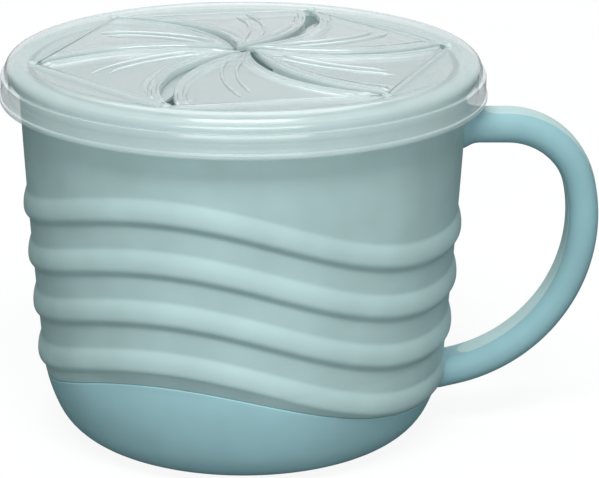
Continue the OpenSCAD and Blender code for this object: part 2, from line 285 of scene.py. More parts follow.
class Shader(NodeBoard):
    """The node board of one procedural material."""

    def __init__(self, name: str) -> None:
        """Starts a material.

        Args:
            name: the material's name.
        """
        self.material = bpy.data.materials.new(name)
        self.material.use_nodes = True
        super().__init__(self.material.node_tree, "ShaderNodeOutputMaterial")
        self.place = self.add("ShaderNodeTexCoord").outputs["Object"]

    def noise(self, size: float, detail: float) -> Socket:
        """Adds object-space noise.

        Args:
            size: the size of a speck, in millimetres.
            detail: how much finer noise is laid over it.

        Returns:
            The noise's value output.
        """
        node = self.add("ShaderNodeTexNoise", Scale=1 / (size * MM), Detail=detail)
        self.links.new(self.place, node.inputs["Vector"])
        return node.outputs[0]

    def between(self, value: Socket, low: float, high: float) -> Socket:
        """Spreads a noise value over a range.

        Args:
            value: the noise value.
            low: the result at the noise's low end.
            high: the result at its high end.

        Returns:
            The mapped value output.
        """
        node = self.add("ShaderNodeMapRange", From_Min=0.3, From_Max=0.7, To_Min=low, To_Max=high)
        self.links.new(value, node.inputs["Value"])
        return node.outputs[0]

    def tint(self, share: Socket, first: Colour | Socket, second: Colour) -> Socket:
        """Mixes two colours.

        Args:
            share: the share of the second colour.
            first: one colour, from 0 to 255 or from another node.
            second: the other colour, from 0 to 255.

        Returns:
            The mixed colour output.
        """
        node = self.add("ShaderNodeMix", data_type="RGBA")
        ends = [socket for socket in node.inputs if socket.type == "RGBA"]
        if isinstance(first, Socket):
            self.links.new(first, ends[0])
        else:
            ends[0].default_value = linear(first)
        ends[1].default_value = linear(second)
        self.links.new(share, node.inputs["Factor"])
        return next(socket for socket in node.outputs if socket.type == "RGBA")

    def bump(self, value: Socket, depth: float, strength: float) -> Socket:
        """Adds a bump from a value.

        Args:
            value: the height.
            depth: the depth of the relief in millimetres.
            strength: how strongly it shows.

        Returns:
            The normal output.
        """
        node = self.add("ShaderNodeBump", Strength=strength, Distance=depth * MM)
        self.links.new(value, node.inputs["Height"])
        return node.outputs["Normal"]

    def dress(self, surface: bpy.types.Node, **looks: Socket) -> bpy.types.Material:
        """Links a surface's looks to it and the surface to the output.

        Args:
            surface: the surface node.
            looks: outputs by the surface's input name, with spaces as underscores.

        Returns:
            The material.
        """
        for key, value in looks.items():
            self.links.new(value, surface.inputs[key.replace("_", " ")])
        self.links.new(surface.outputs[0], self.output.inputs["Surface"])
        return self.material


def shade(colour: Colour, factor: float) -> Colour:
    """Returns the colour made lighter or darker by a factor."""
    return (colour[0] * factor, colour[1] * factor, colour[2] * factor)


@dataclass(frozen=True)
class SatinPlastic:
    """A moulded plastic with a fine grain and a soft sheen."""

    name: str
    colour: Colour
    roughness: float
    rough_spread: float = 0.05
    grain: float = 0.22
    grain_depth: float = 0.02
    mottle: float = 0.025
    # how strongly the rib attribute paints a highlight on the crests and shade along the rib feet; 0 for none
    crest: float = 0.0
    cloud: float = 14.0
    sheen: float = 1.22

    def material(self) -> bpy.types.Material:
        """Makes the node material.

        Returns:
            The material.
        """
        shader = Shader(self.name)
        cloud = shader.between(shader.noise(self.cloud, 2.0), 0.0, 1.0)
        fine = shader.noise(self.grain, 3.0)
        speck = shader.noise(self.grain * 3, 2.0)
        colour = shader.tint(cloud, shade(self.colour, 1 - self.mottle), shade(self.colour, 1 + self.mottle))
        # painted light: the base colour is scaled up on the rib crests as a painted highlight and down along
        # the rib feet as painted shade
        if self.crest:
            tone = shader.add("ShaderNodeAttribute", attribute_name=RIB_PAINTED_LIGHT)
            step = shader.add("ShaderNodeMapRange", From_Min=-1.0, From_Max=1.0, To_Min=1 - self.crest,
                              To_Max=1 + self.crest)
            shader.links.new(tone.outputs["Fac"], step.inputs["Value"])
            lit = shader.add("ShaderNodeVectorMath", operation="SCALE")
            shader.links.new(colour, lit.inputs[0])
            shader.links.new(step.outputs[0], lit.inputs["Scale"])
            colour = lit.outputs[0]
        rough = shader.between(speck, self.roughness - self.rough_spread, self.roughness + self.rough_spread)
        surface = shader.add("ShaderNodeBsdfPrincipled", IOR=self.sheen)
        return shader.dress(surface, Base_Color=colour, Roughness=rough,
                            Normal=shader.bump(fine, self.grain_depth, 0.6))


@dataclass(frozen=True)
class ClearPlastic:
    """A milky clear, glossy soft plastic, darkened toward its edges where it turns away: painted shade in
    place of refraction.
    """

    name: str
    colour: Colour
    refraction_shade_colour: Colour
    roughness: float
    cover: float
    coat: float = 0.2
    cloud: float = 9.0
    flow: float = 6.0
    refraction_shade_start: float = 0.72
    rough_spread: float = 0.03

    def material(self) -> bpy.types.Material:
        """Makes the node material.

        Returns:
            The material.
        """
        shader = Shader(self.name)
        cloud = shader.between(shader.noise(self.cloud, 2.0), 0.0, 1.0)
        flow = shader.noise(self.flow, 1.0)
        # painted shade: the colour darkens toward grazing view, standing in for the dark edges that
        # refraction would give
        facing = shader.add("ShaderNodeLayerWeight", Blend=0.5)
        turn = shader.add("ShaderNodeMapRange", From_Min=self.refraction_shade_start, From_Max=1.0)
        shader.links.new(facing.outputs["Facing"], turn.inputs["Value"])
        milk = shader.tint(cloud, shade(self.colour, 0.98), self.colour)
        surface = shader.add("ShaderNodeBsdfPrincipled", IOR=1.5, Alpha=self.cover, Coat_Weight=1.0,
                             Coat_Roughness=self.coat)
        colour = shader.tint(turn.outputs[0], milk, self.refraction_shade_colour)
        rough = shader.between(flow, self.roughness - self.rough_spread, self.roughness + self.rough_spread)
        return shader.dress(surface, Base_Color=colour, Roughness=rough, Normal=shader.bump(flow, 0.04, 0.15))


@dataclass(frozen=True)
class CupForm:
    """The sizes of the cup's outer form, in millimetres and degrees."""

    belly_r: float = 45.2
    neck_r: float = 48.9
    rim_z: float = 83.6
    side_swell: float = 0.3
    hip_arc_r: float = 35.0
    hip_turn: float = 25.0
    toe_r: float = 12.6
    cup_wall: float = 1.8
    foot_wall: float = 1.9
    floor_t: float = 2.4
    lip_out: float = 1.9
    lip_h: float = 3.0
    neck_h: float = 3.6
    base_t: float = 1.4
    base_top: float = 16.9
    base_wave: float = 0.85
    rib_count: int = 4
    rib_first: float = 22.8
    rib_pitch: float = 11.3
    rib_w: float = 8.2
    rib_out: float = 1.08
    rib_crest: float = -3.1
    rib_up: float = 4.2
    rib_down: float = 1.75
    rib_soft: float = 0.35
    side_lift: float = 0.45
    lift_waves: tuple[float, ...] = (1.0, -1.3, 2.0, 0.0, 1.0)
    # windows along each rib: painted highlight on the crest, painted shade at the lower foot
    crest_painted_highlight: tuple[float, ...] = (-2.6, 0.2, 0.4, 1.5)
    foot_painted_shade: tuple[float, ...] = (-6.4, -4.6, -4.4, -3.4)
    wave_once: float = 4.2
    wave_twice: float = 5.6
    wave_thrice: float = 2.5
    bond_gap: float = 0.05
    around: int = 360

    @property
    def belly_z(self) -> float:
        """Height at which the foot's curve has become upright."""
        return self.toe_r + (self.hip_arc_r - self.toe_r) * math.sin(math.radians(self.hip_turn))

    @property
    def foot_r(self) -> float:
        """Radius of the flat foot."""
        shift = (self.hip_arc_r - self.toe_r) * math.cos(math.radians(self.hip_turn))
        return self.belly_r - self.hip_arc_r + shift

    @property
    def hip_z(self) -> float:
        """Height at which the toe's curve turns into the hip's."""
        return self.toe_r * (1 - math.sin(math.radians(self.hip_turn)))

    @property
    def neck_z(self) -> float:
        """Height at which the tapered side ends."""
        return self.rim_z - self.lip_h - self.neck_h

    def side_r(self, z: float, inset: float = 0.0) -> float:
        """Gives the side's radius.

        Args:
            z: the height.
            inset: how far the foot's arcs are drawn in.

        Returns:
            The radius at that height.
        """
        if z < self.hip_z:
            return self.foot_r + math.sqrt(max(0.0, (self.toe_r - inset) ** 2 - (self.toe_r - z) ** 2))
        if z < self.belly_z:
            arc = math.sqrt((self.hip_arc_r - inset) ** 2 - (self.belly_z - z) ** 2)
            return self.belly_r - self.hip_arc_r + arc
        up = min(1.0, (z - self.belly_z) / (self.neck_z - self.belly_z))
        return self.belly_r - inset + (self.neck_r - self.belly_r) * up + 4 * self.side_swell * up * (1 - up)

    def wave(self, angle: float) -> float:
        """Gives the rise of the ribs' wave.

        Args:
            angle: the angle from the handle, in radians.

        Returns:
            The rise above the mean height.
        """
        return (-self.wave_once * math.cos(angle) - self.wave_twice * math.cos(2 * angle)
                + self.wave_thrice * math.cos(3 * angle))

    def lift(self, angle: float) -> float:
        """Gives how much higher the ribs lie toward both sides of the cup than the wave alone puts them.

        Args:
            angle: the angle from the handle, in radians.

        Returns:
            The extra height.
        """
        return self.side_lift * sum(part * math.cos(k * angle) for k, part in enumerate(self.lift_waves))

    def rib(self, z: float, angle: float) -> float:
        """Gives how far the ribs stand out, with their foot lines softly rounded.

        Args:
            z: the height with the wave taken off.
            angle: the angle from the handle, in radians.

        Returns:
            The distance out from the side.
        """
        total = 0.0
        z -= self.lift(angle)
        for k in range(self.rib_count):
            for shift in RIB_BLUR:
                up = z + shift * self.rib_soft - self.rib_first - k * self.rib_pitch - self.rib_crest
                share = up / (self.rib_up if up > 0 else self.rib_down)
                total += max(0.0, 1 - share * share) / len(RIB_BLUR)
        return self.rib_out * total

    def tone(self, z: float, angle: float) -> float:
        """Gives the painted light on the ribs: above 0 a painted highlight along a crest, below 0 painted
        shade along a rib's lower foot.

        Args:
            z: the height with the wave taken off.
            angle: the angle from the handle, in radians.

        Returns:
            The painted light, from -1 to 1.
        """
        total = 0.0
        z -= self.lift(angle)
        for k in range(self.rib_count):
            up = z - self.rib_first - k * self.rib_pitch
            for (low, full, fade, end), sign in ((self.crest_painted_highlight, 1), (self.foot_painted_shade, -1)):
                total += sign * smooth_step(low, full, up) * (1 - smooth_step(fade, end, up))
        return total

    def ring(self, z: float, share: float, out: float, inset: float = 0.0, ribbed: bool = False) -> Ring:
        """Makes one ring of the skin.

        Args:
            z: the ring's mean height.
            share: how much of the wave it follows.
            out: how far it stands out from the side.
            inset: how far the foot's arcs are drawn in.
            ribbed: whether the ribs are added.

        Returns:
            The ring's points.
        """
        ring: Ring = []
        for i in range(self.around):
            a = 2 * math.pi * i / self.around
            height = z + share * self.wave(a)
            r = self.side_r(height, inset) + out + (self.rib(z, a) if ribbed else 0.0)
            ring.append((r * math.cos(a), r * math.sin(a), height))
        return ring


@dataclass(frozen=True)
class Finishes:
    """The finishes that the pieces share."""

    light: bpy.types.Material
    # the dark plastic again, painted darker as shade on the handle
    grip: bpy.types.Material
    dark: bpy.types.Material
    lid: bpy.types.Material
    flap: bpy.types.Material


@dataclass
class Cup:
    """The ribbed cup with its dark base."""

    form: CupForm
    row_step: float = 0.35
    edge_round: float = 0.35
    foot_bend: float = 1.6

    def shell_rings(self) -> list[Ring]:
        """Lists the rings of the light shell, from under the foot, up the outside and down the inside.

        Returns:
            The rings.
        """
        f = self.form
        nest = f.base_t + f.bond_gap
        rings = []
        for share in shares(12):
            v = share ** self.foot_bend
            rings.append(f.ring(nest + (f.base_top - nest) * v, v * f.base_wave, 0, nest))
        for rise, out in ((0.02, -0.5), (0.08, -0.16), (0.28, -0.03)):
            rings.append(f.ring(f.base_top + rise, f.base_wave, out))
        z = f.rib_first - f.rib_w / 2 - 0.2
        top = f.rib_first + (f.rib_count - 1) * f.rib_pitch + f.rib_w / 2 + 0.4
        while z < top:
            rings.append(f.ring(z, 1, 0, ribbed=True))
            z += self.row_step
        for v in shares(14)[1:]:
            rings.append(f.ring(top + (f.neck_z - top) * v, 1 - v, 0))
        rim, lip, lip_z = f.rim_z, f.lip_out, f.rim_z - f.lip_h
        for z, out in ((lip_z - 0.4, 0), (lip_z - 0.1, 0.2), (lip_z, lip - 0.3), (lip_z + 0.3, lip),
                       (rim - 0.5, lip), (rim - 0.15, lip - 0.15), (rim, lip - 0.5),
                       (rim, 0.5 - f.cup_wall), (rim - 0.15, 0.15 - f.cup_wall), (rim - 0.5, -f.cup_wall)):
            rings.append(f.ring(z, 0, out))
        inner_wall, floor = nest + f.foot_wall, nest + f.floor_t
        for v in shares(24):
            z = f.neck_z - (f.neck_z - f.belly_z) * v
            rings.append(f.ring(z, 0, -f.cup_wall - (inner_wall - f.cup_wall) * v))
        for share in shares(17)[1:]:
            v = (1 - share) ** self.foot_bend
            rings.append(f.ring(floor + (f.belly_z - floor) * v, 0, 0, inner_wall))
        for share in (0.97, 0.9, 0.5):
            rings.append([(x * share, y * share, floor) for x, y, _ in rings[-1]])
        return rings

    def build_shell(self, finishes: Finishes) -> bpy.types.Object:
        """Builds the light shell and stands it in for its CAD node.

        Args:
            finishes: the shared finishes.

        Returns:
            The shell.
        """
        f = self.form
        piece = build_piece("cup_wall", loft(self.shell_rings()), crease=50)
        # stores the painted light on the outside: painted highlight on the crests, painted shade along the
        # rib feet
        tone = piece.data.attributes.new(RIB_PAINTED_LIGHT, "FLOAT", "POINT")
        for vertex in piece.data.vertices:
            x, y, z = (c / MM for c in vertex.co)
            angle = math.atan2(y, x)
            outside = math.hypot(x, y) > f.side_r(z) - 0.2
            tone.data[vertex.index].value = f.tone(z - f.wave(angle), angle) if outside else 0.0
        piece.data.materials.append(finishes.light)
        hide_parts("cup_shell")
        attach(piece, Body.CUP.value)
        return piece

    def base_rings(self) -> list[Ring]:
        """Lists the rings of the dark base, from under the foot, over the wavy edge and down the inside.

        Returns:
            The rings.
        """
        f = self.form
        rings = []
        for share in (0.5, 0.9, 0.98):
            rings.append([(x * share, y * share, 0.0) for x, y, _ in f.ring(0, 0, 0)])
        for share in shares(14):
            angle = math.radians(90 - (90 - f.hip_turn) * share)
            rings.append(f.ring(f.toe_r * (1 - math.sin(angle)), 0, 0))
        for v in shares(24)[1:]:
            rings.append(f.ring(f.hip_z + (f.base_top - self.edge_round - f.hip_z) * v, v * f.base_wave, 0))
        for share in shares(5)[1:]:
            angle = math.pi / 2 * share
            rings.append(f.ring(f.base_top - self.edge_round * (1 - math.sin(angle)), f.base_wave,
                                -self.edge_round * (1 - math.cos(angle)) * 0.8))
        rings.append(f.ring(f.base_top - 0.1, f.base_wave, -0.8))
        edge = f.base_top - 0.1 - f.bond_gap
        for share in shares(12):
            v = (1 - share) ** self.foot_bend
            rings.append(f.ring(f.base_t + (edge - f.base_t) * v, v * f.base_wave, 0, f.base_t))
        return rings

    def build_base(self, finishes: Finishes) -> bpy.types.Object:
        """Builds the dark base and stands it in for its CAD node.

        Args:
            finishes: the shared finishes.

        Returns:
            The base.
        """
        piece = build_piece("base_skin", loft(self.base_rings()), crease=50)
        piece.data.materials.append(finishes.dark)
        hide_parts("base_shell")
        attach(piece, Body.CUP.value)
        return piece


@dataclass(frozen=True)
class Station:
    """A place on the handle's centre line: out, up, and the heading in degrees below level."""

    x: float
    z: float
    turn: float


@dataclass
class Handle:
    """The side handle: a dark grip with a light core that shows on its outer and inner face."""

    form: CupForm
    arm_drop: float = 13.9
    arm_x: float = 58.0
    shoulder_r: float = 16.6
    shoulder_turn: float = 77.0
    sweep_r: float = 36.3
    sweep_turn: float = 98.0
    grip_w: float = 12.0
    grip_t: float = 6.55
    grip_round: float = 3.1
    core_w: float = 6.6
    collar_top: float = 4.4
    collar_low: float = 5.2
    root_flare: float = 1.4
    low_flare: float = 0.2
    flare_length: float = 3.2
    flare_bend: float = 2.2
    face_flare: float = 0.8
    root_depth: float = 1.1
    step: float = 0.8
    strip_depth: float = 0.7
    strip_edge: float = 0.05
    strip_crown: float = 0.16
    strip_round: float = 0.12

    @property
    def arm_z(self) -> float:
        """Height of the upper arm's centre line."""
        return self.form.rim_z - self.arm_drop

    def station(self, along: float) -> Station:
        """Finds a place on the centre line.

        Args:
            along: the distance from the start of the upper bend.

        Returns:
            The station there.
        """
        if along <= 0:
            return Station(self.arm_x + along, self.arm_z, 0.0)
        bend_r, sweep_r = self.shoulder_r, self.sweep_r
        shoulder = math.radians(self.shoulder_turn)
        if along <= bend_r * shoulder:
            t = along / bend_r
            return Station(self.arm_x + bend_r * math.sin(t), self.arm_z - bend_r * (1 - math.cos(t)),
                           math.degrees(t))
        x0 = self.arm_x + bend_r * math.sin(shoulder)
        z0 = self.arm_z - bend_r * (1 - math.cos(shoulder))
        t = shoulder + (along - bend_r * shoulder) / sweep_r
        return Station(x0 + sweep_r * (math.sin(t) - math.sin(shoulder)),
                       z0 - sweep_r * (math.cos(shoulder) - math.cos(t)), math.degrees(t))

    def reach(self) -> tuple[float, float]:
        """Finds the distances along the centre line at which both roots meet the wall.

        Returns:
            The upper root's distance and the lower root's.
        """
        last = math.radians(self.shoulder_r * self.shoulder_turn + self.sweep_r * self.sweep_turn)
        while self.station(last).x < self.form.side_r(self.station(last).z):
            last -= 0.1
        return self.form.side_r(self.arm_z) - self.arm_x, last

    def place(self, station: Station, side: float, up: float) -> Point3:
        """Stands a section point on a station.

        Args:
            station: the station.
            side: the point's place across the handle.
            up: the point's place toward the outer face.

        Returns:
            The point in the cup's frame.
        """
        turn = math.radians(-station.turn)
        return (station.x - up * math.sin(turn), side, station.z + up * math.cos(turn))

    def section(self, grow: float) -> list[Point2]:
        """Makes the grip's rounded section.

        Args:
            grow: how much wider it is on each side.

        Returns:
            The section's points.
        """
        thick = grow * self.face_flare
        w, t = self.grip_w / 2 + grow, self.grip_t / 2 + thick
        r = min(self.grip_round + thick, t - 0.2)
        return rounded_outline([(w, t, r), (-w, t, r), (-w, -t, r), (w, -t, r)], steps=10)

    def build_grip(self, finishes: Finishes) -> bpy.types.Object:
        """Builds the dark grip and stands it in for its CAD node.

        Args:
            finishes: the shared finishes.

        Returns:
            The grip.
        """
        first, last = self.reach()
        start, end = first - self.root_depth, last + self.root_depth
        rings = []
        for share in shares(int((end - start) / self.step)):
            along = start + (end - start) * share
            near = min(along - first, last - along)
            most = self.root_flare if along - first < last - along else self.low_flare
            flare = most * max(0.0, 1 - max(0.0, near) / self.flare_length) ** self.flare_bend
            spot = self.station(along)
            rings.append([self.place(spot, side, up) for side, up in self.section(flare)])
        piece = build_piece("grip", loft(rings), crease=40)
        piece.data.materials.append(finishes.grip)
        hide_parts("handle_grip")
        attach(piece, Body.CUP.value)
        return piece

    def strip(self, sign: float) -> Skin:
        """Makes one light strip with rounded ends, let into a face of the grip.

        Args:
            sign: 1 for the outer face's strip, -1 for the inner one's.

        Returns:
            The points and faces.
        """
        first, last = self.reach()
        start, end = first + self.collar_top, last - self.collar_low
        half = self.core_w / 2
        length = end - start - 2 * half
        marks = [start + half * (1 - math.cos(math.pi / 2 * share)) for share in shares(9)[:-1]]
        marks += [start + half + length * share for share in shares(int(length / self.step))]
        marks += [end - half + half * math.sin(math.pi / 2 * share) for share in shares(9)[1:]]
        edge = self.strip_edge
        rings = []
        for along in marks:
            gap = min(along - start, end - along)
            wide = half if gap >= half else math.sqrt(max(0.0, half * half - (half - gap) ** 2))
            wide = max(wide, 0.02)
            inset = min(self.strip_round, wide / 3)
            flank = [(wide, -self.strip_depth), (wide, edge * 0.2), (wide - inset, edge)]
            outline = [(-side, up) for side, up in flank]
            for share in shares(8)[1:-1]:
                across = share * 2 - 1
                rise = self.strip_crown * (1 - across * across) * wide / half
                outline.append((wide * across * 0.95, edge + rise))
            outline += flank[::-1]
            spot = self.station(along)
            rings.append([self.place(spot, side, sign * (self.grip_t / 2 + up)) for side, up in outline])
        return loft(rings)

    def build_core(self, finishes: Finishes) -> bpy.types.Object:
        """Builds the light core's two strips and stands them in for its CAD node.

        Args:
            finishes: the shared finishes.

        Returns:
            The strips.
        """
        piece = build_piece("core_strips", join_skins([self.strip(1.0), self.strip(-1.0)]), crease=50)
        piece.data.materials.append(finishes.light)
        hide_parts("handle_core")
        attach(piece, Body.CUP.value)
        return piece


@dataclass(frozen=True)
class LidForm:
    """The sizes of the lid, in millimetres and degrees, from the cup's rim."""

    cup: CupForm
    lid_gap: float = 0.3
    web_t: float = 1.6
    skirt_wall: float = 1.6
    skirt_depth: float = 8.9
    hem_h: float = 1.2
    hem_out: float = 0.3
    crown_r: float = 3.4
    crown_rise: float = 0.4
    ledge_w: float = 0.8
    ledge_drop: float = 0.5
    catch_out: float = 0.3
    plug_wall: float = 1.1
    plug_depth: float = 4.4
    flap_count: int = 6
    first_flap_angle: float = 40.0
    slot_r: float = 44.8
    hinge_r: float = 0.8
    hinge_gap: float = 0.25
    corner_gap: float = 2.3
    pip_r: float = 1.1
    edge_in: float = 1.25
    corner_out: float = 0.35
    around: int = 288

    @property
    def web_top(self) -> float:
        """Height of the flat web's upper face."""
        return self.cup.rim_z + self.lid_gap + self.web_t

    @property
    def lip_r(self) -> float:
        """Outer radius of the cup's rim lip."""
        return self.cup.neck_r + self.cup.lip_out

    @property
    def skirt_in(self) -> float:
        """Inner radius of the skirt."""
        return self.lip_r + self.lid_gap + self.catch_out

    @property
    def skirt_r(self) -> float:
        """Outer radius of the skirt."""
        return self.skirt_in + self.skirt_wall

    @property
    def plug_r(self) -> float:
        """Outer radius of the plug ring."""
        return self.cup.neck_r - self.cup.cup_wall - self.lid_gap

    @property
    def half(self) -> float:
        """Half of a flap's share of the circle, in degrees."""
        return 180 / self.flap_count

    @property
    def hinge_x(self) -> float:
        """Distance from the axis to a hinge line."""
        return self.slot_r * math.cos(math.radians(self.half))

    @property
    def hinge_z(self) -> float:
        """Height of the hinge lines."""
        return self.web_top - self.hinge_r

    def flap_angle(self, k: int) -> float:
        """Gives the direction of flap k's middle line, in degrees."""
        return self.first_flap_angle + k * 360 / self.flap_count


@dataclass
class LidRim:
    """The clear lid without its flaps: web, crown bead, skirt, plug ring and slot pips."""

    form: LidForm

    def hexagon_r(self, angle: float, out: float) -> float:
        """Gives the distance to the edge of the six-sided opening.

        Args:
            angle: the direction, in degrees.
            out: how far the edge is moved out.

        Returns:
            The distance from the axis, with the corners rounded.
        """
        f = self.form
        turn = (angle - f.first_flap_angle + f.half) % (2 * f.half) - f.half
        return min((f.hinge_x + out) / math.cos(math.radians(turn)), f.slot_r + f.corner_out + out * 0.5)

    def outline(self) -> list[Point3]:
        """Lists the section from the opening's edge round to its underside.

        Returns:
            Rows of share, radius or distance, and height. A share of 0 measures from the
            opening's edge and a share of 1 gives a plain radius.
        """
        f = self.form
        top, low = f.web_top, f.web_top - f.web_t
        crown_x, crown_z = f.skirt_r - f.ledge_w - f.crown_r, top + f.crown_rise - f.crown_r
        start = math.degrees(math.acos(-math.sqrt(f.crown_r ** 2 - (top - crown_z) ** 2) / f.crown_r))
        rows: list[Point3] = [
            (0, 1.02, f.hinge_z), (0, 0.95, f.hinge_z + 0.4), (0, 0.82, top - 0.12), (0, 0.95, top - 0.02),
            (0, f.edge_in, top), (0.35, 0, top), (0.7, 0, top),
            (1, crown_x + f.crown_r * math.cos(math.radians(start)) - 0.35, top)]
        for share in shares(24)[1:]:
            a = math.radians(start - (start + 8) * share)
            rows.append((1, crown_x + f.crown_r * math.cos(a), crown_z + f.crown_r * math.sin(a)))
        skirt, inner, hem = f.skirt_r, f.skirt_in, f.skirt_r + f.hem_out
        ledge_z, skirt_low = crown_z - f.ledge_drop, top - f.skirt_depth
        hem_z = skirt_low + f.hem_h
        catch, catch_z = inner - f.catch_out, f.cup.rim_z - f.cup.lip_h - f.lid_gap - 0.4
        rows += [
            (1, skirt - f.ledge_w + 0.12, ledge_z + 0.02), (1, skirt - 0.3, ledge_z),
            (1, skirt - 0.09, ledge_z - 0.09), (1, skirt, ledge_z - 0.3),
            (1, skirt, (ledge_z + skirt_low) / 2), (1, skirt, hem_z + 0.25),
            (1, skirt + 0.03, hem_z + 0.12), (1, hem - 0.06, hem_z), (1, hem, hem_z - 0.15),
            (1, hem, skirt_low + 0.3), (1, hem - 0.12, skirt_low + 0.08), (1, hem - 0.4, skirt_low),
            (1, inner + 0.3, skirt_low), (1, inner, skirt_low + 0.3),
            (1, inner, catch_z - 1.2), (1, catch, catch_z - 0.8), (1, catch, catch_z - 0.1),
            (1, inner, catch_z)]
        plug, plug_in, plug_low = f.plug_r, f.plug_r - f.plug_wall, low - f.plug_depth
        rows += [
            (1, inner, low - 0.8), (1, inner - 0.25, low - 0.2), (1, inner - 0.8, low),
            (1, plug + 0.6, low), (1, plug + 0.15, low - 0.15), (1, plug, low - 0.6),
            (1, plug, plug_low + 0.4), (1, plug - 0.15, plug_low + 0.1), (1, plug - 0.45, plug_low),
            (1, plug_in + 0.3, plug_low), (1, plug_in + 0.05, plug_low + 0.15), (1, plug_in, plug_low + 0.5),
            (1, plug_in, low - 0.1), (0.98, 0, low),
            (0, 1.1, low), (0, 0.78, low + 0.08), (0, 0.92, low + 0.4)]
        return rows

    def row_r(self, share: float, value: float, angle: float) -> float:
        """Gives the distance from the axis to a point of a row.

        Args:
            share: the row's share.
            value: the row's radius or distance.
            angle: the direction, in degrees.

        Returns:
            The distance.
        """
        if share == 1:
            return value
        if share == 0:
            return self.hexagon_r(angle, value)
        inner = self.hexagon_r(angle, self.form.edge_in)
        return inner + (max(self.form.plug_r - self.form.plug_wall, inner + 0.2) - inner) * share

    def pip(self, angle: float) -> Skin:
        """Makes the small round pip beyond a slot's outer end.

        Args:
            angle: the slot's direction, in degrees.

        Returns:
            The points and faces.
        """
        f = self.form
        reach = f.slot_r + f.pip_r + f.hinge_gap
        cx, cy = reach * math.cos(math.radians(angle)), reach * math.sin(math.radians(angle))
        rows = ((0, -0.5), (0, 0.15), (-0.12, 0.3), (-0.35, 0.35), (-0.6, 0.25), (-0.8, 0.2))
        return loft([[(cx + x, cy + y, f.web_top + z) for x, y in circle(f.pip_r + out)] for out, z in rows])

    def build(self, finishes: Finishes) -> bpy.types.Object:
        """Builds the rim and stands it in for its CAD node.

        Args:
            finishes: the shared finishes.

        Returns:
            The rim.
        """
        f = self.form
        rings = []
        for share, value, z in self.outline():
            ring = []
            for i in range(f.around):
                angle = 360 * i / f.around
                r, turn = self.row_r(share, value, angle), math.radians(angle)
                ring.append((r * math.cos(turn), r * math.sin(turn), z))
            rings.append(ring)
        pips = [self.pip(f.flap_angle(k) + f.half) for k in range(f.flap_count)]
        piece = build_piece("lid_ring", join_skins([loft(rings, loop=True), *pips]), crease=40)
        piece.data.materials.append(finishes.lid)
        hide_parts("lid_rim")
        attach(piece, Body.LID.value)
        return piece


@dataclass(frozen=True)
class Curve:
    """A flap edge: a circle that is followed by the distance from the lid's axis."""

    radius: float
    away: float
    angle: float

    @classmethod
    def through(cls, radius: float, miss: float, reach: float, at: float) -> "Curve":
        """Finds the circle through a point that misses the axis by a little.

        Args:
            radius: the circle's radius.
            miss: how far it passes from the axis.
            reach: the point's distance from the axis.
            at: the point's direction, in degrees.

        Returns:
            The curve.
        """
        away = radius + miss
        turn = math.acos((away * away + reach * reach - radius * radius) / (2 * away * reach))
        return cls(radius, away, math.radians(at) + turn)

    @property
    def centre(self) -> Vector:
        """Middle of the circle."""
        return Vector((self.away * math.cos(self.angle), self.away * math.sin(self.angle)))

    def at(self, reach: float) -> Vector:
        """Finds the curve's point at a distance from the axis.

        Args:
            reach: the distance.

        Returns:
            The point.
        """
        share = (self.away ** 2 + reach ** 2 - self.radius ** 2) / (2 * self.away * reach)
        angle = self.angle - math.acos(max(-1.0, min(1.0, share)))
        return Vector((reach * math.cos(angle), reach * math.sin(angle)))


